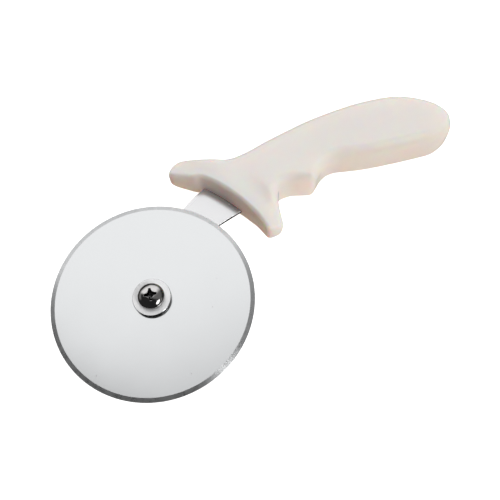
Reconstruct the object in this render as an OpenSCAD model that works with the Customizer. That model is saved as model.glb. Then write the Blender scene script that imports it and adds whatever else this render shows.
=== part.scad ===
// Wheel cutter for pastry and pizza dough: a bevelled steel wheel that turns on
// a flanged bush, carried by a flat steel arm moulded into a plastic handle.
//
// Frame: the origin is the wheel's centre, on its axle, half way through the
// blade. +X runs along the grip towards the butt, +Y is the thumb side (up in
// use), +Z is the axle, on the screw-head side. "Rear" means towards -Z.

/* [Wheel] */
// Diameter of the cutting wheel
wheel_d = 101.6; // [96:0.1:106]
// Thickness of the wheel's flat plate
wheel_t = 1.2; // [1:0.1:1.3]
// Radial width of the ground bevel
bevel_w = 2.2; // [1:0.1:4]
// Thickness left at the cutting edge
edge_t = 0.12; // [0.08:0.02:0.3]

/* [Pivot] */
// Outer diameter of the bush barrel that the wheel turns on
barrel_d = 9; // [8.6:0.1:10]
// Radial running clearance between wheel and barrel
run_c = 0.05; // [0.02:0.01:0.09]
// Side play between the wheel and each of its neighbours
side_c = 0.05; // [0.02:0.01:0.2]
// Diameter of the bush flange
flange_d = 19.1; // [16:0.1:22]
// Thickness of the bush flange
flange_t = 2.4; // [1.5:0.1:3]
// Diameter of the pivot screw's shank
screw_d = 6; // [5:0.5:6]
// Diameter of the screw head
head_d = 13.2; // [11:0.1:14]
// Height of the screw head
head_h = 4.9; // [4.2:0.1:5.4]
// Span of the cross recess
recess_w = 6.2; // [5:0.1:7]
// Angle of the cross recess about the axle, degrees
recess_a = 75; // [0:1:90]
// Thickness of the spacer between wheel and arm
spacer_t = 1; // [0.8:0.1:1.2]
// Thickness of the washer under the nut
washer_t = 1; // [0.8:0.1:1.2]
// Width of the nut across its flats
nut_af = 10; // [9:0.5:11]
// Height of the nut with its collar
nut_h = 6; // [5.4:0.1:6]

/* [Arm] */
// Thickness of the arm plate
arm_t = 2; // [1.6:0.1:2]
// Radius of the arm's eye around the axle
eye_r = 9.5; // [8.5:0.1:10.5]
// Diameter of the two lock holes in the tang
lock_d = 6; // [4:0.5:6]

/* [Handle] */
// Thickness of the handle across its broad faces
handle_t = 24; // [22:0.2:25]
// Radius of the moulded edges, measured in plan
edge_r = 5.2; // [4:0.1:5.4]
// Half thickness of the guard lobes at their tips
lobe_h = 6; // [5:0.1:7]

/* [Hidden] */
$fn = 96;

// Levels along the axle
z_flange = wheel_t / 2 + side_c;        // flange face next to the wheel
z_head = z_flange + flange_t;           // seat of the screw head
z_spacer = -wheel_t / 2 - side_c;       // spacer face next to the wheel
z_arm = z_spacer - spacer_t;            // arm face next to the spacer
z_arm_rear = z_arm - arm_t;
z_washer_rear = z_arm_rear - washer_t;
z_nut_rear = z_washer_rear - nut_h;

// Radii shared by parts on the axle
bore_r = screw_d / 2 + 0.05;            // holes of the arm and the bush
running_r = barrel_d / 2 + run_c;       // holes of the wheel and the spacer
thread_r = screw_d / 2 + 0.02;          // holes of the nut and its nylon ring

// Nylon ring in the nut
insert_r = nut_af / 2 - 1;
insert_h = 1.7;
z_insert = z_nut_rear + 0.3;

// Catmull-Rom span from b to c, between neighbours a and d, at t from 0 to 1
function span(a, b, c, d, t) = 0.5 * (2 * b + (c - a) * t
    + (2 * a - 5 * b + 4 * c - d) * t * t + (3 * b - a - 3 * c + d) * t * t * t);
// Point on the curve through a list of points; t counts control points
function curve_at(points, t) = let (i = min(floor(t), len(points) - 2))
    span(points[max(i - 1, 0)], points[i], points[i + 1],
         points[min(i + 2, len(points) - 1)], t - i);
function ramp(x) = x <= 0 ? 0 : x >= 1 ? 1 : x * x * (3 - 2 * x);
function mix(from, to, weight) = from + (to - from) * weight;

// Handle outline, [x, y] control points.
// Guard front, from the lower lobe's tip to the upper one's: it starts where the
// lobe is narrow and curves round the wheel
front_edge = [
    [70.5, 5], [68, 5.5], [66, 7], [65.5, 9.5], [64.5, 15], [62, 21], [59.5, 26],
    [54.5, 36], [47.5, 46], [43.5, 48], [40, 51], [36.5, 53.5], [34, 56], [33, 58]];
// From the upper lobe's tip, over the back to the butt
top_edge = [
    [33, 58], [34.5, 60.5], [37.5, 62.5], [42, 64], [46, 62], [49.5, 60], [54, 57],
    [59.5, 54], [63, 52], [67, 50.5], [72, 50.5], [78, 51], [97, 53], [116, 54],
    [136, 52.5], [146, 51], [155.5, 49], [165.5, 45.5], [174, 40], [181, 33], [183.5, 25]];
// From the lower lobe's tip, under the finger grooves to the butt
under_edge = [
    [70.5, 5], [73.5, 5], [76, 8], [77, 11.5], [78, 17], [79.5, 21.5], [82, 24],
    [85, 24.5], [89, 24], [93, 22], [97, 20.5], [100, 20], [103, 22], [107, 25],
    [111.5, 26], [116.5, 26], [121.5, 24], [131.5, 21], [142, 18], [152, 16], [162, 14],
    [168.5, 13], [175, 14], [179, 16], [182, 20], [183.5, 25]];
// Control points at which each edge leaves its lobe
top_neck = 9;
under_neck = 6;

// The outline runs clockwise from the upper lobe's tip: top edge, back along the
// under edge, then the guard front
lobe_steps = 12;
grip_steps = 40;
front_steps = 2 * lobe_steps;
top_end = len(top_edge) - 1;
under_end = len(under_edge) - 1;
front_end = len(front_edge) - 1;
outline = concat(
    [for (i = [0 : lobe_steps - 1]) curve_at(top_edge, top_neck * i / lobe_steps)],
    [for (i = [0 : grip_steps])
        curve_at(top_edge, top_neck + (top_end - top_neck) * i / grip_steps)],
    [for (i = [1 : grip_steps])
        curve_at(under_edge, under_end - (under_end - under_neck) * i / grip_steps)],
    [for (i = [1 : lobe_steps]) curve_at(under_edge, under_neck * (1 - i / lobe_steps))],
    [for (i = [1 : front_steps - 1]) curve_at(front_edge, front_end * i / front_steps)]);
count = len(outline);
lower_tip = 2 * (lobe_steps + grip_steps);  // index of the lower lobe's tip

// Places that shape the handle
guard_mid = [56, 34];
guard_along = [0.839, 0.545];       // direction from the guard back into the grip
guard_across = [-0.545, 0.839];     // direction from lobe to lobe
guard_half_w = 32.4;
lobe_tips = [[33, 58], [70, 5]];
butt_corner = [179.5, 15.5];        // lower corner of the butt
groove_ridge = [100, 20.5];         // ridge between the finger grooves
min_wall = 0.6;                     // least half height of the wall below the edge

// Place of a point p relative to the guard: along it in mm, and across it as a
// share of its half width, up to 1
function along(p) = (p - guard_mid) * guard_along;
function across(p) = min(abs((p - guard_mid) * guard_across) / guard_half_w, 1);
// Half thickness: full on the grip, a lens across the guard
function half_t(p) = handle_t / 2
    - guard(p) * (handle_t / 2 - lobe_h) * pow(across(p), 1.7);

// Weights from 0 to 1: the guard, its front, its thick middle, the grip, the
// butt, the lobe tips
function guard(p) = 1 - ramp((along(p) - 6) / 11);
function frontal(p) = ramp((4 - along(p)) / 5);
function deep(p) = ramp((half_t(p) - lobe_h) / 6);
function grip(p) = ramp((p.x - 84) / 12);
function butt(p) = ramp((p.x - 160) / 18);
function tip(p) = 1 - ramp(min([for (place = lobe_tips) norm(p - place)]) / 5);

// The moulded edge: how far it is drawn in
function inset(p) = let (
    off_corner = ramp(norm(p - butt_corner) / 16),
    ridge = 1 - ramp(norm(p - groove_ridge) / 7),
    behind = edge_r - guard(p) * (edge_r - 3.2) * pow(across(p), 2)
        + (0.6 * grip(p) + 1.8 * butt(p)) * off_corner - 2.2 * ridge)
    mix(behind, 2.4 - deep(p), frontal(p)) - 0.9 * tip(p);
// how far it runs down the wall
function rise(p) = mix(5.6 + 1.2 * grip(p) + 2.4 * butt(p), 3.6 - deep(p), frontal(p));
// and how far the wall leans back towards each broad face
function lean(p) = 1.2 * deep(p) * frontal(p);
// Unit vector into the outline at point j
function inward(j) =
    let (run = outline[(j + 2) % count] - outline[(j + count - 2) % count])
    [run.y, -run.x] / norm(run);

// Point j of the ring at a level: [angle round the edge, signed share of the
// height below the edge]
function ring_point(j, level) = let (
    p = outline[j],
    half = half_t(p),
    drop = min(rise(p), half - min_wall),
    z = level[1] * (half - drop + drop * sin(level[0])),
    plan = p + inward(j) * (inset(p) * (1 - cos(level[0]))
        + lean(p) * pow(abs(z) / half, 1.5)))
    [plan.x, plan.y, z];

// The moulded body: a stack of rings, each drawn in and raised along a quarter
// ellipse, closed by two broad faces laced across the outline
module handle_body() {
    edge_steps = 5;
    levels = concat(
        [for (k = [0 : edge_steps]) [90 * (1 - k / edge_steps), -1]],
        [[0, -0.6], [0, 0], [0, 0.6]],
        [for (k = [0 : edge_steps]) [90 * k / edge_steps, 1]]);
    points = [for (level = levels) for (j = [0 : count - 1]) ring_point(j, level)];
    side = [for (k = [0 : len(levels) - 2]) for (j = [0 : count - 1])
        let (a = k * count + j, b = k * count + (j + 1) % count)
        each [[a, b, b + count], [a, b + count, a + count]]];
    // upper lobe, lower lobe, the triangle between their necks and the guard
    // front, then the grip
    lace = concat(
        [for (i = [0 : lobe_steps - 1]) let (a = i, b = count - i)
            each [[a, a + 1, b - 1], if (i > 0) [a, b - 1, b]]],
        [for (i = [0 : lobe_steps - 1]) let (a = lower_tip - i, b = lower_tip + i)
            each [[a, b + 1, a - 1], if (i > 0) [a, b, b + 1]]],
        [[lobe_steps, lower_tip - lobe_steps, lower_tip + lobe_steps]],
        [for (i = [0 : grip_steps - 1])
            let (a = lobe_steps + i, b = lower_tip - lobe_steps - i)
            each [[a, a + 1, b], if (i < grip_steps - 1) [a + 1, b - 1, b]]]);
    last_ring = (len(levels) - 1) * count;
    polyhedron(points, concat(side,
        [for (f = lace) [for (i = f) last_ring + i]],
        [for (f = lace) [f[2], f[1], f[0]]]), convexity = 4);
}

module handle() {
    color([0.89, 0.87, 0.84]) difference() {
        handle_body();
        tang_arm();
    }
}

// Arm outline, [x, y] control points: upper edge from the eye to the tang, the
// tang's rounded end, and the lower edge back to the eye
arm_top = [
    [-7.4, 5.9], [-3.6, 12], [4, 20.4], [13, 28.2], [23, 34.6], [33.4, 39.7],
    [40, 42.8], [45, 44.9], [50, 46.1], [58, 46.4], [70, 45.4], [90, 43.4],
    [112, 41.6], [128, 40]];
arm_end = [[128, 40], [132, 38.2], [133.6, 34.8], [132, 31.4], [128, 29.6]];
arm_low = [
    [128, 29.6], [110, 29.6], [92, 29.6], [80, 28.8], [70, 26.8], [60, 25.1],
    [46, 22.9], [36, 20.2], [27, 15.6], [19, 8.8], [12.6, 1], [7.4, -5.9]];
arm_steps = 3;                          // samples to each span
lock_places = [[84, 36.6], [118, 35.4]];

// Samples of an arm edge, from the sample numbered first
function arm_curve(points, first) =
    [for (k = [first : arm_steps * (len(points) - 1)]) curve_at(points, k / arm_steps)];

module tang_arm() {
    color([0.90, 0.90, 0.91]) difference() {
        union() {
            translate([0, 0, z_arm_rear]) linear_extrude(arm_t)
                polygon(concat(arm_curve(arm_top, 0), arm_curve(arm_end, 1),
                    arm_curve(arm_low, 1)));
            translate([0, 0, z_arm_rear]) cylinder(r = eye_r, h = arm_t);
        }
        translate([0, 0, z_arm_rear - 1]) cylinder(r = bore_r, h = arm_t + 2);
        for (p = lock_places)
            translate([p.x, p.y, z_arm_rear - 1]) cylinder(d = lock_d, h = arm_t + 2);
    }
}

module cutting_wheel() {
    rim_r = wheel_d / 2;
    half = wheel_t / 2;
    color([0.91, 0.92, 0.93]) rotate_extrude($fn = 180)
        polygon([[running_r, -half], [rim_r - bevel_w, -half], [rim_r, -edge_t / 2],
                 [rim_r, edge_t / 2], [rim_r - bevel_w, half], [running_r, half]]);
}

module hub_bush() {
    chamfer = 0.3;
    flange_r = flange_d / 2;
    color([0.93, 0.93, 0.94]) rotate_extrude()
        polygon([[bore_r, z_arm], [barrel_d / 2, z_arm], [barrel_d / 2, z_flange],
                 [flange_r, z_flange], [flange_r, z_head - chamfer],
                 [flange_r - chamfer, z_head], [bore_r, z_head]]);
}

module ring(inner_r, outer_r, z_low, z_high) {
    rotate_extrude()
        polygon([[inner_r, z_low], [outer_r, z_low], [outer_r, z_high], [inner_r, z_high]]);
}

module rear_spacer() {
    color([0.85, 0.85, 0.86]) ring(running_r, 8, z_arm, z_spacer);
}

module rear_washer() {
    color([0.80, 0.80, 0.82]) ring(screw_d / 2 + 0.2, 7, z_washer_rear, z_arm_rear);
}

// Domed head on a short rim, rounded where it meets the flange
module pivot_screw() {
    rim_h = 1.9;
    round_w = 0.45;
    round_h = 0.7;
    chamfer = 0.5;
    shank_r = screw_d / 2;
    head_r = head_d / 2;
    z_end = z_nut_rear - 0.25;
    color([0.24, 0.24, 0.25]) difference() {
        rotate_extrude() polygon(concat(
            [[0, z_end], [shank_r - chamfer, z_end], [shank_r, z_end + chamfer],
             [shank_r, z_head]],
            [for (a = [-90 : 15 : 0])
                [head_r - round_w * (1 - cos(a)), z_head + round_h * (1 + sin(a))]],
            [for (a = [0 : 6 : 90])
                [head_r * cos(a), z_head + rim_h + (head_h - rim_h) * sin(a)]]));
        translate([0, 0, z_head]) rotate([0, 0, recess_a]) cross_recess();
    }
}

// Two tapered slots and a pilot cone at their crossing, above the head's seat
module cross_recess() {
    slot_w = 1.2;
    floor_half = 1.1;
    depth = 2.5;
    z_floor = head_h - depth;
    z_taper = head_h - 0.35;
    z_clear = head_h + 1;
    half = recess_w / 2;
    pilot = 0.5;                        // depth of the cone below the slots
    for (a = [0, 90])
        rotate([0, 0, a]) translate([0, slot_w / 2, 0]) rotate([90, 0, 0])
            linear_extrude(slot_w)
                polygon([[-half, z_clear], [-half, z_taper], [-floor_half, z_floor],
                         [floor_half, z_floor], [half, z_taper], [half, z_clear]]);
    translate([0, 0, z_floor - pilot]) cylinder(r1 = 0.5, r2 = 1.9, h = depth + pilot);
}

// Lock nut: hexagon with a round collar whose inturned lip keeps the nylon ring in
module pivot_nut() {
    collar_h = 1.6;
    flat_r = nut_af / 2;
    cone = 6;                           // height and widening of the corner chamfer
    z_hex = z_nut_rear + collar_h;
    color([0.70, 0.70, 0.72]) difference() {
        union() {
            intersection() {
                translate([0, 0, z_hex])
                    cylinder(r = nut_af / sqrt(3), h = z_washer_rear - z_hex, $fn = 6);
                translate([0, 0, z_hex - 0.01])
                    cylinder(r1 = flat_r, r2 = flat_r + cone, h = cone);
            }
            translate([0, 0, z_nut_rear]) cylinder(r = flat_r - 0.5, h = collar_h + 0.2);
        }
        translate([0, 0, z_nut_rear + 1]) cylinder(r = thread_r, h = nut_h + 1);
        translate([0, 0, z_insert]) cylinder(r = insert_r, h = insert_h);
        translate([0, 0, z_nut_rear - 1]) cylinder(r = insert_r - 0.4, h = 2);
    }
}

module nut_insert() {
    color([0.25, 0.38, 0.62]) ring(thread_r, insert_r, z_insert, z_insert + insert_h);
}

handle();
tang_arm();
cutting_wheel();
hub_bush();
rear_spacer();
pivot_screw();
rear_washer();
pivot_nut();
nut_insert();
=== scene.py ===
import bmesh
import bpy
import math
import numpy as np
from mathutils import Matrix, Vector
from mathutils.geometry import delaunay_2d_cdt


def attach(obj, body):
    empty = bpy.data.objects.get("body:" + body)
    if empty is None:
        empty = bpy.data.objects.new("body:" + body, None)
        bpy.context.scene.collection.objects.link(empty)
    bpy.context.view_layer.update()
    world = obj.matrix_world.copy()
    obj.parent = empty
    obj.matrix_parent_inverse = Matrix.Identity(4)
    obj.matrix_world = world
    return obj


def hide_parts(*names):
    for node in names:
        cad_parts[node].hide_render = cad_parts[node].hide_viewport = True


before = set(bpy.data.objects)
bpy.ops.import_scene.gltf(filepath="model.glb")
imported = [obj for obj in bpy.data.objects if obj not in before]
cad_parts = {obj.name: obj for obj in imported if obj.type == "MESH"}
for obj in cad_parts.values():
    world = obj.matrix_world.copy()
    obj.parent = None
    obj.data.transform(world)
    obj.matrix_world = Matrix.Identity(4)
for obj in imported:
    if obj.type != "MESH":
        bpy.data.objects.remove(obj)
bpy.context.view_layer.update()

MM = 0.001
TAU = 2 * math.pi

# Heights along the axle, from the screw head down to the end of the nut
BUSH_TOP = 3.05
FLANGE_BOTTOM = 0.65
BLADE_HALF = 0.6
SPACER_TOP = -FLANGE_BOTTOM
ARM_FACE = -1.65
ARM_BACK = ARM_FACE - 2.0
WASHER_BACK = ARM_BACK - 1.0
NUT_END = WASHER_BACK - 6.0

# Radii about the axle
SCREW_RADIUS = 3.0
BORE = 3.05
SLEEVE_RADIUS = 4.5
WHEEL_BORE = 4.55
BLADE_RADIUS = 50.78
BEVEL_START = 48.6

# Screw head: a dome on a short rim
HEAD_RADIUS = 6.58
HEAD_RIM_TOP = BUSH_TOP + 1.9
DOME_HEIGHT = 3.0

# Pocket for the nylon ring in the nut
POCKET_RADIUS = 4.0
POCKET_START = NUT_END + 0.3
POCKET_END = NUT_END + 2.0


# ---------------------------------------------------------------- mesh helpers
def make_piece(name, node, slot, verts, faces, body="holder", sharp=None):
    """A piece from millimetre points. Edges steeper than sharp degrees stay crisp."""
    bm = bmesh.new()
    points = [bm.verts.new([float(c) * MM for c in v]) for v in verts]
    for face in faces:
        # a repeated or collapsed face is left out
        try:
            bm.faces.new([points[i] for i in face])
        except ValueError:
            pass
    bmesh.ops.remove_doubles(bm, verts=bm.verts, dist=1e-8)
    loose = [v for v in bm.verts if not v.link_faces]
    bmesh.ops.delete(bm, geom=loose, context="VERTS")
    bmesh.ops.recalc_face_normals(bm, faces=bm.faces)
    mesh = bpy.data.meshes.new(name)
    bm.to_mesh(mesh)
    bm.free()
    for polygon in mesh.polygons:
        polygon.use_smooth = True
    piece = bpy.data.objects.new(name, mesh)
    bpy.context.scene.collection.objects.link(piece)
    if sharp is not None:
        mesh.set_sharp_from_angle(angle=math.radians(sharp))
        weighted = piece.modifiers.new("face_weight", "WEIGHTED_NORMAL")
        weighted.keep_sharp = True
        weighted.weight = 80
    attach(piece, body)
    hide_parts(node)
    return piece, slot


def rounded(profile, steps):
    """Profile corners [r, z, radius] become arcs."""
    out = []
    count = len(profile)
    for i, (r, z, radius) in enumerate(profile):
        corner = np.array([r, z], float)
        if radius <= 0:
            out.append(corner)
            continue
        back = np.array(profile[i - 1][:2], float) - corner
        ahead = np.array(profile[(i + 1) % count][:2], float) - corner
        back_length, ahead_length = np.linalg.norm(back), np.linalg.norm(ahead)
        back, ahead = back / back_length, ahead / ahead_length
        half = math.acos(max(-1, min(1, float(back @ ahead)))) / 2
        cut = min(radius / math.tan(half), 0.45 * back_length, 0.45 * ahead_length)
        fitted = cut * math.tan(half)
        bisector = (back + ahead) / np.linalg.norm(back + ahead)
        centre = corner + bisector * (fitted / math.sin(half))
        start, end = corner + back * cut - centre, corner + ahead * cut - centre
        first = math.atan2(start[1], start[0])
        sweep = (math.atan2(end[1], end[0]) - first + math.pi) % TAU - math.pi
        for k in range(steps + 1):
            angle = first + sweep * k / steps
            out.append(centre + fitted * np.array([math.cos(angle), math.sin(angle)]))
    return np.array(out)


def lathe_piece(name, node, slot, profile, steps, segments, body="holder"):
    """Turns a closed profile of [r, z, corner radius] about the axle."""
    outline = rounded(profile, steps)
    count = len(outline)
    angles = np.arange(segments) * TAU / segments
    verts = np.stack([np.outer(np.cos(angles), outline[:, 0]),
                      np.outer(np.sin(angles), outline[:, 0]),
                      np.tile(outline[:, 1], (segments, 1))], 2).reshape(-1, 3)
    faces = []
    for i in range(segments):
        j = (i + 1) % segments
        for k in range(count):
            following = (k + 1) % count
            faces.append((i * count + k, j * count + k,
                          j * count + following, i * count + following))
    return make_piece(name, node, slot, verts, faces, body, sharp=50)


def spline(points, samples):
    """Closed Catmull-Rom curve through the points, with the given samples a span."""
    b = np.array(points, float)
    a, c, d = np.roll(b, 1, 0), np.roll(b, -1, 0), np.roll(b, -2, 0)
    out = []
    for k in range(samples):
        t = k / samples
        out.append(0.5 * (2 * b + (c - a) * t + (2 * a - 5 * b + 4 * c - d) * t * t
                          + (3 * b - a - 3 * c + d) * t ** 3))
    return np.stack(out, 1).reshape(-1, 2)


def even(points, spacing):
    """Closed polyline resampled evenly, and the spacing it ends up with."""
    ring = np.vstack([points, points[:1]])
    lengths = np.linalg.norm(np.diff(ring, axis=0), axis=1)
    travel = np.concatenate([[0], np.cumsum(lengths)])
    count = max(8, int(round(travel[-1] / spacing)))
    at = np.arange(count) * travel[-1] / count
    return (np.stack([np.interp(at, travel, ring[:, 0]), np.interp(at, travel, ring[:, 1])], 1),
            travel[-1] / count)


def smooth_loop(values, sigma):
    """Circular Gaussian smoothing down each column, sigma in samples."""
    count = len(values)
    distance = np.minimum(np.arange(count), count - np.arange(count))
    kernel = np.exp(-0.5 * (distance / sigma) ** 2)
    kernel /= kernel.sum()
    response = np.fft.rfft(kernel)
    return np.apply_along_axis(
        lambda column: np.fft.irfft(np.fft.rfft(column) * response, count), 0, values)


def directions(loop):
    """Unit directions along and into a clockwise loop."""
    along = np.roll(loop, -1, 0) - np.roll(loop, 1, 0)
    along /= np.linalg.norm(along, axis=1)[:, None]
    return along, np.stack([along[:, 1], -along[:, 0]], 1)


def inside(points, loop):
    """Which points lie inside a closed polyline."""
    x, y = points[:, 0], points[:, 1]
    result = np.zeros(len(points), bool)
    for i in range(len(loop)):
        x0, y0 = loop[i]
        x1, y1 = loop[(i + 1) % len(loop)]
        if y0 == y1:
            continue
        crossed = (y0 > y) != (y1 > y)
        result ^= crossed & (x < x0 + (y - y0) * (x1 - x0) / (y1 - y0))
    return result


def clearance(points, loop):
    """Distance from each point to the nearest sample of a polyline, in batches."""
    out = np.empty(len(points))
    for i in range(0, len(points), 500):
        offsets = points[i:i + 500, None, :] - loop[None]
        out[i:i + 500] = np.sqrt((offsets ** 2).sum(2)).min(1)
    return out


def fill(outer, holes, spacing, gap):
    """Triangles of a flat region with a hexagonal grid of inner points.
    Returns the inner points and triangles that index outer, each hole, then the inner points."""
    loops = [outer] + holes

    def in_region(points):
        result = inside(points, outer)
        for hole in holes:
            result &= ~inside(points, hole)
        return result

    low, high = outer.min(0), outer.max(0)
    rows = np.arange(low[1], high[1], spacing * 0.866)
    grid = np.array([[x + (spacing / 2 if i % 2 else 0), y]
                     for i, y in enumerate(rows) for x in np.arange(low[0], high[0], spacing)])
    keep = in_region(grid)
    for loop in loops:
        keep[keep] = clearance(grid[keep], loop) > gap
    inner = grid[keep]
    edges, start = [], 0
    for loop in loops:
        edges += [(start + i, start + (i + 1) % len(loop)) for i in range(len(loop))]
        start += len(loop)
    points = [Vector((float(x), float(y))) for x, y in np.vstack(loops + [inner])]
    result = delaunay_2d_cdt(points, edges, [], 1, 1e-7)
    placed, triangles, origins = np.array([tuple(v) for v in result[0]]), result[2], result[3]
    middles = np.array([placed[list(t)].mean(0) for t in triangles])
    return inner, [tuple(origins[i][0] for i in t)
                   for t, kept in zip(triangles, in_region(middles)) if kept]


def strip(a, b, count):
    """Quads between two closed rings of points that start at a and b."""
    return [(a + i, a + (i + 1) % count, b + (i + 1) % count, b + i) for i in range(count)]


def cap_faces(triangles, ring, count, base):
    """Fill triangles reindexed: the outline starts at ring, all other points at base."""
    return [tuple(ring + i if i < count else base + i - count for i in t) for t in triangles]


def quarter(steps, first=0):
    """1 - cos and 1 - sin over a quarter turn, for rounding edges."""
    angles = [math.pi / 2 * k / steps for k in range(first, steps + 1)]
    return [(1 - math.cos(a), 1 - math.sin(a)) for a in angles]


class Rings:
    """Rings of points about the axle, joined in the order they are added."""

    def __init__(self, angles):
        self.cos, self.sin = np.cos(angles), np.sin(angles)
        self.rows = []

    def add(self, radius, z):
        """Radius and height may be single values or one for each angle."""
        self.rows.append(np.stack([radius * self.cos, radius * self.sin,
                                   z + np.zeros_like(self.cos)], 1))

    def skin(self, closed):
        """Points and quads; a closed skin joins the last ring to the first."""
        count, rows = len(self.cos), len(self.rows)
        faces = []
        for k in range(rows if closed else rows - 1):
            faces += strip(k * count, (k + 1) % rows * count, count)
        return np.vstack(self.rows), faces


# ---------------------------------------------------------------- the handle
# Outline as [x, y], clockwise: top edge to the butt, then under edge and front edge.
# The under edge is listed from the front and walked backwards.
HANDLE_TOP = [
    [33.05, 58.1], [34.52, 60.25], [37.47, 62.46], [41.93, 63.71], [45.88, 62.21],
    [49.48, 60.11], [54.24, 57.13], [59.34, 54.02], [63.13, 51.74], [66.9, 50.67],
    [72.2, 50.53], [77.93, 50.91], [96.92, 53.11], [116.02, 53.87], [136.15, 52.7],
    [145.8, 51.21], [155.47, 49.03], [165.34, 45.4], [174.08, 40.08], [180.78, 33.11],
    [183.27, 25.16]]
HANDLE_UNDER = [
    [70.31, 4.89], [73.61, 5.19], [75.93, 7.8], [76.9, 11.62], [78.08, 16.89],
    [79.55, 21.31], [81.67, 24.26], [85.24, 24.37], [89.02, 23.77], [92.92, 22.04],
    [96.91, 20.7], [99.88, 20.19], [103.21, 22.26], [107.22, 24.8], [111.71, 26.1],
    [116.37, 25.8], [121.31, 24.12], [131.57, 20.77], [141.79, 18.23], [152.06, 15.98],
    [162.19, 13.94], [168.57, 12.77], [174.86, 13.92], [178.98, 16.1], [181.78, 19.83]]
HANDLE_FRONT = [
    [67.75, 5.28], [66.12, 6.81], [65.7, 9.24], [64.31, 15.19], [61.98, 20.79], [59.64, 26],
    [54.3, 36.1], [47.7, 45.8], [43.65, 48.0], [39.9, 51.01], [36.6, 53.63], [34.14, 55.97]]
HANDLE_HALF = 12.0      # half thickness of the grip
TIP_HALF = 6.0          # half thickness at the two guard tips
GUARD_CENTRE = (56, 34)
GUARD_AXIS = (0.839, 0.545)     # unit direction from the guard back into the grip
GUARD_REACH = 32.4              # from the guard's centre out to a tip
BUTT_CORNER = (179.5, 15.5)
FINGER_RIDGE = (99.7, 20.7)


def ramp(x):
    x = np.clip(x, 0, 1)
    return x * x * (3 - 2 * x)


def away(points, centre, reach):
    """0 at the centre, 1 beyond reach."""
    return ramp(np.hypot(points[:, 0] - centre[0], points[:, 1] - centre[1]) / reach)


def guard_terms(points):
    """0 to 1: out of the guard into the grip, towards a tip, and into the front strip."""
    x, y = points[:, 0] - GUARD_CENTRE[0], points[:, 1] - GUARD_CENTRE[1]
    tipward = np.minimum(np.abs(x * -GUARD_AXIS[1] + y * GUARD_AXIS[0]) / GUARD_REACH, 1)
    along = x * GUARD_AXIS[0] + y * GUARD_AXIS[1]
    return ramp((along - 6) / 11), tipward, ramp((4 - along) / 5)


def half_thickness(points):
    grip, tipward, _ = guard_terms(points)
    return HANDLE_HALF - (1 - grip) * (HANDLE_HALF - TIP_HALF) * tipward ** 1.7


def edge_terms(points):
    """Plan width and height of the moulded edge, and how far the wall leans in beside it."""
    body, tipward, front = guard_terms(points)
    corner = away(points, BUTT_CORNER, 16)
    ridge = 1 - away(points, FINGER_RIDGE, 7)
    grip = ramp((points[:, 0] - 84) / 12)
    butt = ramp((points[:, 0] - 160) / 18)
    thick = ramp((half_thickness(points) - TIP_HALF) / 6)
    # narrower at the guard tips and the ridge, wider along the grip and butt
    width = 5.2 - (1 - body) * 2.0 * tipward * tipward
    width = width + (0.6 * grip + 1.8 * butt) * corner - 2.2 * ridge
    height = 5.6 + 1.2 * grip + 2.4 * butt
    # the front strip has a tighter edge and a leaning wall
    return (width + (2.4 - thick - width) * front, height + (3.6 - thick - height) * front,
            1.2 * thick * front)


def handle_outline():
    outline = HANDLE_TOP + HANDLE_UNDER[::-1] + HANDLE_FRONT
    loop, step = even(spline(outline, 40), 0.5)
    loop = smooth_loop(loop, 1.0 / step)
    # squeeze the butt so that it ends just short of the table's last point
    end = HANDLE_TOP[-1][0] - 0.4
    squeezed = 0.38
    over = loop[:, 0] - end
    loop[:, 0] = np.where(over > 0, end + over * squeezed / max(over.max(), squeezed), loop[:, 0])
    return loop, step


def build_handle():
    loop, step = handle_outline()
    count = len(loop)
    along, inward = directions(loop)
    # convex corners limit how far the edge may be drawn in
    ahead = np.roll(along, -1, 0)
    turn = -(ahead[:, 1] * along[:, 0] - ahead[:, 0] * along[:, 1]) / step
    limit = np.where(turn > 0.02, 0.78 / np.maximum(turn, 0.02), 50)
    inset, rise, lean = edge_terms(loop)
    inset = np.minimum(inset, limit)
    reach = int(2.5 / step)
    inset = np.min([np.roll(inset, shift) for shift in range(-reach, reach + 1)], axis=0)
    inset = smooth_loop(inset, 2.0 / step)
    half = np.minimum(smooth_loop(half_thickness(loop), 1.0 / step), HANDLE_HALF)
    rise = np.minimum(smooth_loop(rise, 2.0 / step), half - 0.6)
    lean = smooth_loop(lean, 2.0 / step)

    # rings from the -z face round to the +z face; negative levels are on the straight wall
    arc = 14
    verts, rings = [], []
    for side, levels in ((-1, range(arc, -5, -1)), (1, range(-3, arc + 1))):
        for level in levels:
            angle = math.pi / 2 * max(level, 0) / arc
            z = side * (half - rise + rise * math.sin(angle)) * (1 + min(level, 0) / 4)
            drawn = inset * (1 - math.cos(angle)) + lean * (np.abs(z) / half) ** 1.5
            rings.append(len(verts))
            verts += [(x, y, w) for (x, y), w in zip(loop + inward * drawn[:, None], z)]
    faces = []
    for a, b in zip(rings[:-1], rings[1:]):
        faces += strip(a, b, count)

    cap = loop + inward * (inset + lean)[:, None]
    inner, triangles = fill(cap, [], spacing=1.4, gap=0.8)
    # heights inside follow the thickness rule, eased so that they meet the ring
    rest = half - half_thickness(cap)
    distance = np.sqrt(((inner[:, None, :] - cap[None]) ** 2).sum(2))
    weight = 1 / distance ** 3
    eased = half_thickness(inner) + (weight * rest).sum(1) / weight.sum(1)
    heights = np.minimum(eased, HANDLE_HALF)
    for side, ring in ((-1, rings[0]), (1, rings[-1])):
        base = len(verts)
        verts += [(x, y, side * z) for (x, y), z in zip(inner, heights)]
        faces += cap_faces(triangles, ring, count, base)
    return make_piece("grip_body", "handle", "grip_plastic", verts, faces)


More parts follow.
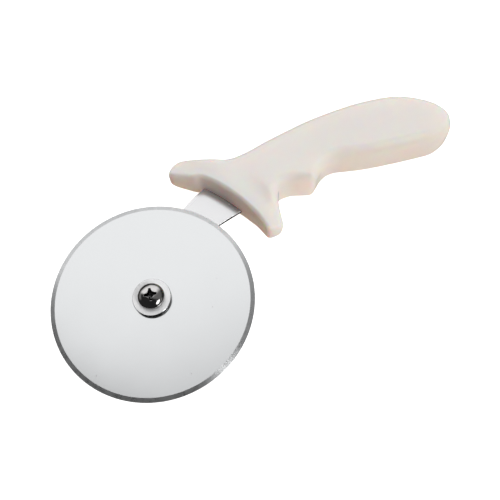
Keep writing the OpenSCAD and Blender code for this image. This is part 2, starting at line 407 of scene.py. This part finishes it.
# ---------------------------------------------------------------- the arm
# Outline as [x, y], clockwise: upper edge away from the axle, then lower edge back
ARM_TOP = [
    [-7.4, 5.9], [-3.6, 12], [4, 20.4], [13, 28.2], [23, 34.6], [33.4, 39.7],
    [40, 42.8], [45, 44.9], [50, 46.1], [58, 46.4], [70, 45.4], [90, 43.4],
    [112, 41.6], [128, 40], [132, 38.2], [133.6, 34.8], [132, 31.4]]
ARM_LOW = [
    [128, 29.6], [110, 29.6], [92, 29.6], [80, 28.8], [70, 26.8], [60, 25.1],
    [46, 22.9], [36, 20.2], [27, 15.6], [19, 8.8], [12.6, 1], [7.4, -5.9]]
EYE_RADIUS = 9.465
# x, y, radius: the axle hole and two holes inside the handle
ARM_HOLES = [(0, 0, BORE), (84, 36.6, 3), (118, 35.4, 3)]
HOLE_SEGMENTS = 72
ARM_EDGE = 0.16     # rounding of the outline


def build_arm():
    start = math.atan2(ARM_LOW[-1][1], ARM_LOW[-1][0])
    end = math.atan2(ARM_TOP[0][1], ARM_TOP[0][0]) - TAU
    angles = [start + (end - start) * k / 14 for k in range(1, 14)]
    eye = [[EYE_RADIUS * math.cos(a), EYE_RADIUS * math.sin(a)] for a in angles]
    loop, step = even(spline(ARM_TOP + ARM_LOW + eye, 30), 0.6)
    loop = smooth_loop(loop, 0.5 / step)
    count = len(loop)
    _, inward = directions(loop)
    turn = np.arange(HOLE_SEGMENTS) * TAU / HOLE_SEGMENTS
    holes = [np.stack([x + radius * np.cos(turn), y + radius * np.sin(turn)], 1)
             for x, y, radius in ARM_HOLES]
    verts, faces, rings = [], [], []
    edge = quarter(4)
    for face_z, side, levels in ((ARM_BACK, -1, edge[::-1]), (ARM_FACE, 1, edge)):
        for across, down in levels:
            rings.append(len(verts))
            verts += [(x, y, face_z - side * ARM_EDGE * down)
                      for x, y in loop + inward * ARM_EDGE * across]
    for a, b in zip(rings[:-1], rings[1:]):
        faces += strip(a, b, count)
    inner, triangles = fill(loop + inward * ARM_EDGE, holes, spacing=3.0, gap=0.7)
    bases = []
    for face_z, ring in ((ARM_BACK, rings[0]), (ARM_FACE, rings[-1])):
        bases.append(len(verts))
        verts += [(x, y, face_z) for x, y in np.vstack(holes + [inner])]
        faces += cap_faces(triangles, ring, count, bases[-1])
    for i in range(len(holes)):
        offset = HOLE_SEGMENTS * i
        faces += strip(bases[0] + offset, bases[1] + offset, HOLE_SEGMENTS)
    return make_piece("arm_plate", "tang_arm", "arm_steel", verts, faces, sharp=50)


# ---------------------------------------------------------------- turned pieces
def build_wheel():
    edge = 0.06     # half thickness of the cutting edge
    profile = [[WHEEL_BORE, -BLADE_HALF, 0.12], [BEVEL_START, -BLADE_HALF, 0.15],
               [BLADE_RADIUS, -edge, 0.03], [BLADE_RADIUS, edge, 0.03],
               [BEVEL_START, BLADE_HALF, 0.15], [WHEEL_BORE, BLADE_HALF, 0.12]]
    return lathe_piece("blade_disc", "cutting_wheel", "blade_steel", profile, 3, 720, "wheel")


def build_bush():
    """A sleeve through the wheel under a wide flange."""
    flange = 9.53
    profile = [[BORE, ARM_FACE, 0.1], [SLEEVE_RADIUS, ARM_FACE, 0.15],
               [SLEEVE_RADIUS, FLANGE_BOTTOM, 0], [flange, FLANGE_BOTTOM, 0.15],
               [flange, BUSH_TOP, 0.28], [BORE, BUSH_TOP, 0.1]]
    return lathe_piece("bush_turned", "hub_bush", "bush_steel", profile, 5, 256)


def build_ring(name, node, slot, radii, heights, edge):
    (inner, outer), (low, high) = radii, heights
    profile = [[inner, low, edge], [outer, low, edge], [outer, high, edge], [inner, high, edge]]
    return lathe_piece(name, node, slot, profile, 3, 192)


def star(theta, tip, wing, ctrl):
    """Radius of a four-armed recess at each angle: blunt tips joined by hollow curves.
    tip is the arm length, wing its half width and ctrl how far out the hollows stay."""
    t = np.linspace(0, 1, 60)
    hollow = (np.outer((1 - t) ** 2, [tip, wing]) + np.outer(2 * t * (1 - t), [ctrl, ctrl])
              + np.outer(t ** 2, [wing, tip]))
    end = [[tip + 0.10 * (1 - (y / wing) ** 2), y] for y in np.linspace(0, wing, 8)[:-1]]
    next_end = [[x, y] for y, x in end[::-1]]
    curve = np.vstack([end, hollow, next_end])
    return np.interp(theta % (math.pi / 2), np.arctan2(curve[:, 1], curve[:, 0]),
                     np.hypot(curve[:, 0], curve[:, 1]))


def build_screw():
    segments = 384
    floor_z = BUSH_TOP + 1.9
    lip_edge = 0.14
    thread_top, thread_end = -1.6, -10.9
    thread_depth, row_spacing = 0.55, 0.0833
    theta = np.arange(segments) * TAU / segments
    rings = Rings(theta + math.radians(75))
    lip = star(theta, tip=3.1, wing=0.60, ctrl=0.66)
    floor_radius = star(theta, tip=1.35, wing=0.40, ctrl=0.44)

    def dome_z(radius):
        return HEAD_RIM_TOP + DOME_HEIGHT * np.sqrt(np.maximum(1 - (radius / HEAD_RADIUS) ** 2, 0))

    # recess: dished floor, tapering walls and a rounded lip
    for share, dz in ((0.02, -0.35), (0.35, -0.22), (0.7, -0.08), (0.95, 0.0)):
        rings.add(floor_radius * share, floor_z + dz)
    wall_top = dome_z(lip) - lip_edge
    for t in (0.03, 0.15, 0.3, 0.5, 0.7, 0.85, 0.93):
        rings.add(floor_radius + (lip - floor_radius) * t, floor_z + (wall_top - floor_z) * t)
    for k, (across, down) in enumerate(quarter(5)):
        radius = lip + lip_edge * across - 0.02 * (1 - k / 5)
        rings.add(radius, dome_z(radius) - lip_edge * down)
    # dome, rounded rim and underside
    first = np.arccos((lip + lip_edge * 1.4) / HEAD_RADIUS)
    for k in range(22):
        phi = first * (1 - k / 21)
        rings.add(HEAD_RADIUS * np.cos(phi), HEAD_RIM_TOP + DOME_HEIGHT * np.sin(phi))
    for across, down in quarter(10, first=1):
        rings.add(HEAD_RADIUS - 0.45 * across, BUSH_TOP + 0.7 * down)
    rings.add(SCREW_RADIUS + 0.2, BUSH_TOP)
    rings.add(SCREW_RADIUS, BUSH_TOP - 0.15)
    rings.add(SCREW_RADIUS, -1.4)
    # thread of one millimetre pitch, fading in at the top and chamfered at the end
    steps = int((thread_top - thread_end) / row_spacing)
    for k in range(steps + 1):
        z = thread_top + (thread_end - thread_top) * k / steps
        phase = (z + theta / TAU) % 1.0
        groove = np.clip(np.abs(phase - 0.5) * 2.6 - 0.15, 0, 1)
        radius = SCREW_RADIUS - thread_depth * min(1.0, k / 12) * groove
        rings.add(np.minimum(radius, 2.5 + (z - thread_end)), z)
    end_z = thread_end + 0.02
    rings.add(1.2, end_z)
    rings.add(0.02, end_z)
    verts, faces = rings.skin(closed=False)
    # close the recess floor and the end with fans
    top, bottom = len(verts), len(verts) + 1
    last = len(verts) - segments
    verts = list(map(tuple, verts)) + [(0, 0, floor_z - 0.36), (0, 0, end_z)]
    faces += [(top, i, (i + 1) % segments) for i in range(segments)]
    faces += [(bottom, last + (i + 1) % segments, last + i) for i in range(segments)]
    return make_piece("pan_screw", "pivot_screw", "black_nickel", verts, faces, sharp=60)


def build_nut():
    """Lock nut: chamfered hexagon, round collar and an inturned lip that keeps the nylon ring."""
    segments, across_flats, hex_end = 360, 10.0, -9.05
    collar, shoulder, collar_edge = SLEEVE_RADIUS, 4.75, 0.45
    theta = np.arange(segments) * TAU / segments
    from_flat = (theta + math.pi / 6) % (math.pi / 3) - math.pi / 6
    hexagon = across_flats / 2 / np.cos(from_flat)
    rings = Rings(theta + math.pi / 6)
    slope = math.tan(math.radians(28))
    flat = across_flats / 2 - 0.15
    chamfer = (hexagon - flat) * slope
    # seat and hexagon
    rings.add(BORE, WASHER_BACK - 0.5)
    for radius in (3.45, 3.6, 4.0, flat):
        rings.add(radius, WASHER_BACK)
    for t in (0.25, 0.5, 0.75, 1.0):
        rings.add(flat + (hexagon - flat) * t, WASHER_BACK - (hexagon - flat) * t * slope)
    rings.add(hexagon, WASHER_BACK - chamfer - 0.1)
    rings.add(hexagon, hex_end + chamfer + 0.1)
    for t in (1.0, 0.75, 0.5, 0.25, 0.0):
        rings.add(shoulder + (hexagon - shoulder) * t, hex_end + (hexagon - shoulder) * t * slope)
    # collar
    rings.add(4.62, hex_end - 0.02)
    rings.add(collar, hex_end - 0.14)
    rings.add(collar, NUT_END + 0.5)
    for across, down in quarter(5):
        rings.add(collar - collar_edge * across, NUT_END + collar_edge * down)
    # lip and the pocket behind it
    rings.add(3.75, NUT_END + 0.02)
    for k in range(5):
        angle = math.pi / 2 * k / 4
        rings.add(3.65 - 0.1 * math.sin(angle), NUT_END + 0.12 - 0.1 * math.cos(angle))
    for radius, z in ((3.55, POCKET_START), (POCKET_RADIUS, POCKET_START),
                      (POCKET_RADIUS, POCKET_END), (BORE, POCKET_END)):
        rings.add(radius, z)
    verts, faces = rings.skin(closed=True)
    return make_piece("lock_nut", "pivot_nut", "zinc_steel", verts, faces, sharp=28)


# ---------------------------------------------------------------- shader helpers
class Shader:
    """Short calls for building a node tree."""

    def __init__(self, tree):
        self.tree = tree
        tree.nodes.clear()

    def node(self, kind, inputs=None, **props):
        node = self.tree.nodes.new(kind)
        for key, value in props.items():
            setattr(node, key, value)
        for key, value in (inputs or {}).items():
            if isinstance(value, bpy.types.NodeSocket):
                self.tree.links.new(value, node.inputs[key])
            else:
                node.inputs[key].default_value = value
        return node

    def out(self, kind, inputs=None, output=0, **props):
        return self.node(kind, inputs, **props).outputs[output]

    def math(self, op, a, b=0.0, c=0.0, clamp=False):
        return self.out("ShaderNodeMath", {0: a, 1: b, 2: c}, operation=op, use_clamp=clamp)

    def total(self, first, *rest):
        for value in rest:
            first = self.math("ADD", first, value)
        return first

    def product(self, first, *rest):
        for value in rest:
            first = self.math("MULTIPLY", first, value)
        return first

    def smooth(self, value, start, end, low=0.0, high=1.0):
        """Eases from low at start to high at end."""
        return self.out("ShaderNodeMapRange", {0: value, 1: start, 2: end, 3: low, 4: high},
                        interpolation_type="SMOOTHSTEP")

    def remap(self, value, low, high, start=0.0, end=1.0):
        """Straight from low at start to high at end."""
        return self.out("ShaderNodeMapRange", {0: value, 1: start, 2: end, 3: low, 4: high})

    def middle(self, noise, low=0.0, high=1.0):
        """Remaps the middle of a noise, where most of its values lie."""
        return self.remap(noise, low, high, start=0.3, end=0.7)

    def noise(self, vector, scale, detail=2.0, rough=0.5):
        return self.out("ShaderNodeTexNoise", {"Vector": vector, "Scale": scale,
                                               "Detail": detail, "Roughness": rough})

    def stretch(self, vector, scale, turn):
        return self.out("ShaderNodeMapping", {"Vector": vector, "Scale": scale,
                                              "Rotation": (0, 0, turn)})

    def mix(self, factor, a, b):
        return self.out("ShaderNodeMix", {0: factor, 2: a, 3: b})

    def tint(self, factor, a, b):
        """Mixes two colours, each a tuple or a socket."""
        a, b = [(*c, 1) if isinstance(c, tuple) else c for c in (a, b)]
        return self.out("ShaderNodeMix", {0: factor, 6: a, 7: b}, output=2, data_type="RGBA")

    def mix_shader(self, factor, a, b):
        return self.out("ShaderNodeMixShader", {0: factor, 1: a, 2: b})

    def glow(self, colour, strength, kind="ShaderNodeEmission"):
        return self.out(kind, {"Color": (*colour, 1), "Strength": strength})

    def ray(self, kind):
        return self.out("ShaderNodeLightPath", output=kind)

    def bump(self, height, strength, distance, **normal):
        return self.out("ShaderNodeBump", {"Height": height, "Strength": strength,
                                           "Distance": distance, **normal})

    def position(self, kind="Object"):
        return self.out("ShaderNodeTexCoord", output=kind)

    def combine(self, x, y, z):
        return self.out("ShaderNodeCombineXYZ", {0: x, 1: y, 2: z})

    def split(self, vector):
        return self.node("ShaderNodeSeparateXYZ", {0: vector}).outputs

    def radius_squared(self, xyz):
        return self.total(self.product(xyz[0], xyz[0]), self.product(xyz[1], xyz[1]))

    def polar(self, xyz):
        """Radius and angle about the axle."""
        return (self.math("SQRT", self.radius_squared(xyz)),
                self.math("ARCTAN2", xyz[1], xyz[0]))

    def flatness(self):
        """1 where the face looks along z, 0 where it stands upright."""
        normal = self.out("ShaderNodeNewGeometry", output="True Normal")
        return self.math("ABSOLUTE", self.split(normal)[2])

    def surface(self, **inputs):
        named = {key.replace("_", " "): value for key, value in inputs.items()}
        self.finish(self.out("ShaderNodeBsdfPrincipled", named))

    def finish(self, shader, kind="ShaderNodeOutputMaterial"):
        self.node(kind, {"Surface": shader})


def new_material(name):
    material = bpy.data.materials.new(name)
    material.use_nodes = True
    return material, Shader(material.node_tree)


# ---------------------------------------------------------------- materials
ROLLING_STRETCH = (60, 5200, 60)    # fine across the rolling direction, long along it


def plastic():
    """Satin moulded polypropylene: warm white, a fine moulded grain and faint cloudiness."""
    material, net = new_material("grip_plastic")
    position = net.position()
    cloud = net.noise(position, scale=38, detail=3, rough=0.55)
    grain = net.noise(position, scale=2600, rough=0.6)
    swell = net.noise(position, scale=130)
    base = net.tint(net.middle(cloud), (0.868, 0.843, 0.806), (0.883, 0.859, 0.822))
    # painted shade: grey towards the outline, a darkening at grazing view angles that draws a thin
    # grey edge line round the plastic
    facing = net.out("ShaderNodeLayerWeight", {"Blend": 0.5}, output="Facing")
    painted_edge_shade = net.smooth(facing, start=0.76, end=1.0, high=0.95)
    rough = net.total(net.remap(swell, 0.40, 0.48), net.remap(grain, -0.02, 0.02))
    broad = net.bump(swell, strength=0.35, distance=0.00012)
    # the outline is mixed towards grey as painted shade
    net.surface(Base_Color=net.tint(painted_edge_shade, base, (0.25, 0.25, 0.25)), Roughness=rough, IOR=1.46,
                Normal=net.bump(grain, strength=0.5, distance=0.000012, Normal=broad),
                Subsurface_Weight=0.85, Subsurface_Radius=(1.0, 0.55, 0.32),
                Subsurface_Scale=0.010)
    return material


def arm_sheet():
    """Rolled stainless sheet: a straight rolling grain, faint mottling and tiny pits."""
    material, net = new_material("arm_steel")
    tone, rough, turn = (0.525, 0.526, 0.532), 0.19, math.radians(-33)
    position = net.position()
    grain = net.noise(net.stretch(position, ROLLING_STRETCH, turn), 1.0, detail=3, rough=0.6)
    broad = net.noise(net.stretch(position, (6, 420, 6), turn), 1.0)
    mottle = net.noise(position, scale=55, detail=3)
    pits = net.smooth(net.noise(position, scale=620, detail=1, rough=0.4), start=0.22, end=0.16)
    both = net.total(net.product(grain, 0.7), net.product(broad, 0.3))
    base = net.tint(net.middle(both), tuple(c * 0.965 for c in tone), tone)
    # the blanked sides are darker, rougher and fully metallic
    side = net.smooth(net.flatness(), start=0.75, end=0.45)
    roughness = net.total(net.middle(both, rough - 0.015, rough + 0.015),
                          net.middle(mottle, -0.015, 0.015),
                          net.product(pits, 0.2), net.product(side, 0.3))
    lines = net.bump(both, strength=0.10, distance=0.000006)
    # the flats are softly tumbled and mirror their surroundings only in part
    net.surface(Base_Color=net.tint(side, base, (0.17, 0.17, 0.175)),
                Metallic=net.math("MULTIPLY_ADD", side, 0.3, 0.7), Roughness=roughness,
                Normal=net.bump(pits, strength=-0.2, distance=0.00001, Normal=lines))
    return material


def blade():
    """A sheet finish on the flats and a circular grinding grain on the bevel."""
    material, net = new_material("blade_steel")
    position = net.position()
    radius, angle = net.polar(net.split(position))

    def ring_noise(across, around, rough):
        """Noise drawn out into rings: across and around set its density."""
        return net.noise(net.combine(net.product(radius, across),
                                     net.product(net.math("SINE", angle), around),
                                     net.product(net.math("COSINE", angle), around)),
                         1.0, rough=rough)

    ground = ring_noise(across=9000.0, around=2.0, rough=0.6)
    drift = ring_noise(across=300.0, around=18.0, rough=0.5)
    rolled = net.stretch(position, ROLLING_STRETCH, math.radians(12))
    grain = net.noise(rolled, 1.0, detail=3, rough=0.6)
    mottle = net.noise(position, scale=48, detail=3)
    pits = net.smooth(net.noise(position, scale=560, detail=1, rough=0.4), start=0.20, end=0.15)
    bevel = net.smooth(radius, start=(BEVEL_START - 0.25) * MM, end=BEVEL_START * MM)
    # flats first, bevel second
    height = net.mix(bevel, grain, ground)
    tone = net.mix(bevel, net.middle(grain, 0.428, 0.434), net.middle(ground, 0.38, 0.41))
    colour = net.out("ShaderNodeCombineColor", {0: net.product(tone, 0.985), 1: tone,
                                                2: net.product(tone, 1.012)})
    flat_rough = net.total(net.middle(grain, 0.155, 0.18), net.middle(mottle, -0.008, 0.008),
                           net.product(pits, 0.2))
    bevel_rough = net.total(net.middle(ground, 0.27, 0.31), net.middle(drift, -0.03, 0.03))
    lines = net.bump(height, strength=0.06, distance=0.000006)
    # the grinding rings spread reflections across themselves
    net.surface(Base_Color=colour, Metallic=1.0,
                Roughness=net.mix(bevel, flat_rough, bevel_rough),
                Normal=net.bump(pits, strength=-0.2, distance=0.00001, Normal=lines),
                Anisotropic=net.product(bevel, 0.93), Anisotropic_Rotation=0.25,
                Tangent=net.out("ShaderNodeTangent", direction_type="RADIAL", axis="Z"))
    return material


def turned(name, tone, rough, depth=0.25, density=14000.0, mottling=0.0, satin=0.0):
    """Lathe-turned metal: fine rings about the axle with a little uneven polish.
    depth and density are of the rings; satin is extra roughness on the flat faces."""
    material, net = new_material(name)
    position = net.position()
    xyz = net.split(position)
    radius, angle = net.polar(xyz)
    rings = net.noise(net.combine(net.product(radius, density),
                                  net.product(net.math("SINE", angle), 1.5),
                                  net.product(xyz[2], density)), 1.0, rough=0.6)
    wear = net.noise(position, scale=420, detail=3, rough=0.6)
    worn = tuple(c * (0.95 - mottling) for c in tone)
    base = net.tint(net.remap(wear, 0, 1, start=0.35, end=0.65), worn, tone)
    roughness = net.total(net.middle(rings, rough * 0.8, rough * 1.2),
                          net.middle(wear, -0.03, 0.04 + mottling))
    metallic = 1.0
    if satin:
        # the flat faces are blasted: pale, soft and hardly mirroring anything
        flat = net.smooth(net.flatness(), start=0.9, end=0.98)
        roughness = net.total(roughness, net.product(flat, satin))
        metallic = net.math("MULTIPLY_ADD", flat, -0.8, 1.0)
        base = net.tint(flat, base, (0.83, 0.83, 0.835))
    net.surface(Base_Color=base, Metallic=metallic, Roughness=roughness,
                Normal=net.bump(rings, strength=depth, distance=0.000004))
    return material


def black_plate():
    """Black nickel plate: glossy, with a slight orange peel and rubbed high spots."""
    material, net = new_material("black_nickel")
    position = net.position()
    peel = net.noise(position, scale=900)
    rub = net.noise(position, scale=380, detail=4, rough=0.65)
    base = net.tint(net.remap(rub, 0, 1, start=0.4, end=0.7),
                    (0.34, 0.332, 0.328), (0.385, 0.377, 0.373))
    # painted shade: the recess, found by its depth below the dome, is darkened towards black to
    # stand in for the shade inside it
    xyz = net.split(position)
    squared = net.radius_squared(xyz)
    share = net.math("DIVIDE", squared, (HEAD_RADIUS * MM) ** 2)
    rise = net.math("SQRT", net.math("SUBTRACT", 1.0, share, clamp=True))
    dome = net.math("MULTIPLY_ADD", rise, DOME_HEIGHT * MM, HEAD_RIM_TOP * MM)
    sunk = net.math("SUBTRACT", dome, xyz[2])
    painted_recess_shade = net.product(net.smooth(sunk, start=0.00012, end=0.0006),
                         net.smooth(squared, start=0.0000125, end=0.000011))
    roughness = net.total(net.middle(rub, 0.07, 0.13), net.remap(peel, -0.01, 0.01))
    # the recess takes a near-black colour as painted shade
    net.surface(Base_Color=net.tint(painted_recess_shade, base, (0.10, 0.10, 0.10)), Metallic=1.0,
                Roughness=roughness, Normal=net.bump(peel, strength=0.25, distance=0.00002))
    return material


def nylon():
    """Dull blue plastic with a fine grain."""
    material, net = new_material("nylon")
    grain = net.noise(net.position(), scale=1500, detail=3, rough=0.6)
    net.surface(Base_Color=net.tint(net.middle(grain), (0.07, 0.14, 0.34), (0.09, 0.18, 0.40)),
                Roughness=net.remap(grain, 0.42, 0.55),
                Normal=net.bump(grain, strength=0.4, distance=0.00002))
    return material


# ---------------------------------------------------------------- build
pieces = [
    build_handle(),
    build_arm(),
    build_wheel(),
    build_bush(),
    build_ring("spacer_ring", "rear_spacer", "bush_steel",
               (WHEEL_BORE, 8.0), (ARM_FACE, SPACER_TOP), edge=0.12),
    build_screw(),
    build_ring("washer_ring", "rear_washer", "zinc_steel",
               (3.2, 7.0), (WASHER_BACK, ARM_BACK), edge=0.14),
    build_nut(),
    build_ring("lock_ring", "nut_insert", "nylon",
               (3.02, POCKET_RADIUS), (POCKET_START, POCKET_END), edge=0.08),
]
materials = {
    "grip_plastic": plastic(),
    "arm_steel": arm_sheet(),
    "blade_steel": blade(),
    "bush_steel": turned("bush_steel", (0.48, 0.48, 0.485), rough=0.11, satin=0.3),
    "black_nickel": black_plate(),
    "zinc_steel": turned("zinc_steel", (0.66, 0.67, 0.69), rough=0.30, depth=0.5,
                         density=6000.0, mottling=0.08),
    "nylon": nylon(),
}
for piece, slot in pieces:
    piece.data.materials.clear()
    piece.data.materials.append(materials[slot])


# ---------------------------------------------------------------- floor
def pale_floor():
    """White to the camera, a warm glow onto the tool and dim in its reflections."""
    material, net = new_material("pale_floor")
    speck = net.noise(net.position(), scale=300, detail=3, rough=0.6)
    colour = net.tint(speck, (0.80, 0.79, 0.78), (0.82, 0.815, 0.81))
    diffuse = net.out("ShaderNodeBsdfDiffuse", {"Color": colour})
    bounce = net.mix_shader(net.ray("Is Camera Ray"), net.glow((1, 0.685, 0.455), 0.43),
                            net.glow((1, 1, 1), 1.0))
    lit = net.out("ShaderNodeAddShader", {0: diffuse, 1: bounce})
    dim = net.glow((1, 0.95, 0.9), 0.06)
    net.finish(net.mix_shader(net.ray("Is Glossy Ray"), lit, dim))
    return material


def build_floor():
    bm = bmesh.new()
    bmesh.ops.create_grid(bm, x_segments=8, y_segments=8, size=3.0)
    mesh = bpy.data.meshes.new("floor")
    bm.to_mesh(mesh)
    bm.free()
    floor = bpy.data.objects.new("floor", mesh)
    floor.location = (0.06, 0.0, -HANDLE_HALF * MM)
    bpy.context.scene.collection.objects.link(floor)
    mesh.materials.append(pale_floor())


# ---------------------------------------------------------------- studio light
def build_world():
    """Soft boxes painted on the sky; the camera itself sees plain white."""
    world = bpy.data.worlds.new("studio")
    bpy.context.scene.world = world
    world.use_nodes = True
    net = Shader(world.node_tree)
    x, y, z = net.split(net.position("Generated"))[:3]
    azimuth = net.product(net.math("ARCTAN2", y, x), 180 / math.pi)
    elevation = net.product(net.math("ARCSINE", z), 180 / math.pi)
    # place on a flat ceiling one unit up
    ceiling_y = net.math("DIVIDE", y, net.math("MAXIMUM", z, 0.03))
    ceiling_x = net.math("DIVIDE", x, net.math("MAXIMUM", z, 0.03))

    def patch(*edges):
        """A lit patch. Each edge: value, where it is dark, where it is full."""
        return net.product(*[net.smooth(*edge) for edge in edges])

    # a large softbox on the +y side, whose lower edge is higher past 75 degrees
    past = net.smooth(azimuth, 75, 90)
    low = net.math("MULTIPLY_ADD", past, 7.0, 5.0)
    high = net.math("MULTIPLY_ADD", past, 4.0, 32.0)
    softbox = patch((azimuth, 18, 50), (azimuth, 133, 119), (elevation, low, high),
                    (ceiling_y, -0.10, 0.35))
    # a small bright box towards +x and -y
    near_box = patch((ceiling_x, 0.30, 0.40), (ceiling_x, 0.90, 0.68),
                     (ceiling_y, -0.56, -0.72), (ceiling_y, -1.90, -1.55), (elevation, 0, 5))
    # a weak fill from +x
    fill_light = patch((azimuth, -60, -20), (azimuth, 60, 20), (elevation, 10, 50))
    # two low panels keep the blade from going black when seen from the sides
    back_panel = patch((azimuth, 108, 122), (azimuth, 166, 150),
                       (elevation, 8, 14), (elevation, 36, 30))
    near_panel = patch((azimuth, -78, -62), (azimuth, -18, -32),
                       (elevation, 3, 8), (elevation, 34, 26))
    ambient = 0.04
    strength = net.total(net.product(softbox, 1.9), net.product(near_box, 14.0),
                         net.product(net.total(back_panel, near_panel), 0.36),
                         net.product(fill_light, 0.26), ambient)
    light = net.glow((1, 1, 1), strength, kind="ShaderNodeBackground")
    plain = net.glow((1, 1, 1), 1.0, kind="ShaderNodeBackground")
    net.finish(net.mix_shader(net.ray("Is Camera Ray"), light, plain), "ShaderNodeOutputWorld")


# ---------------------------------------------------------------- camera
def build_camera():
    lens = bpy.data.cameras.new("camera")
    lens.sensor_width = 36
    lens.lens = 46.555
    lens.shift_x, lens.shift_y = -0.0008, 0.0005
    lens.clip_start, lens.clip_end = 0.01, 20
    camera = bpy.data.objects.new("camera", lens)
    bpy.context.scene.collection.objects.link(camera)
    camera.matrix_world = Matrix((
        (0.90437657, 0.40552784, -0.13285400, 0.01101622),
        (-0.42572962, 0.83604515, -0.34609651, -0.11139811),
        (-0.02927983, 0.36956145, 0.92874486, 0.30527119),
        (0, 0, 0, 1)))
    bpy.context.scene.camera = camera


build_floor()
build_world()
build_camera()
bpy.context.scene.view_settings.view_transform = "Standard"
bpy.context.scene.view_settings.look = "None"
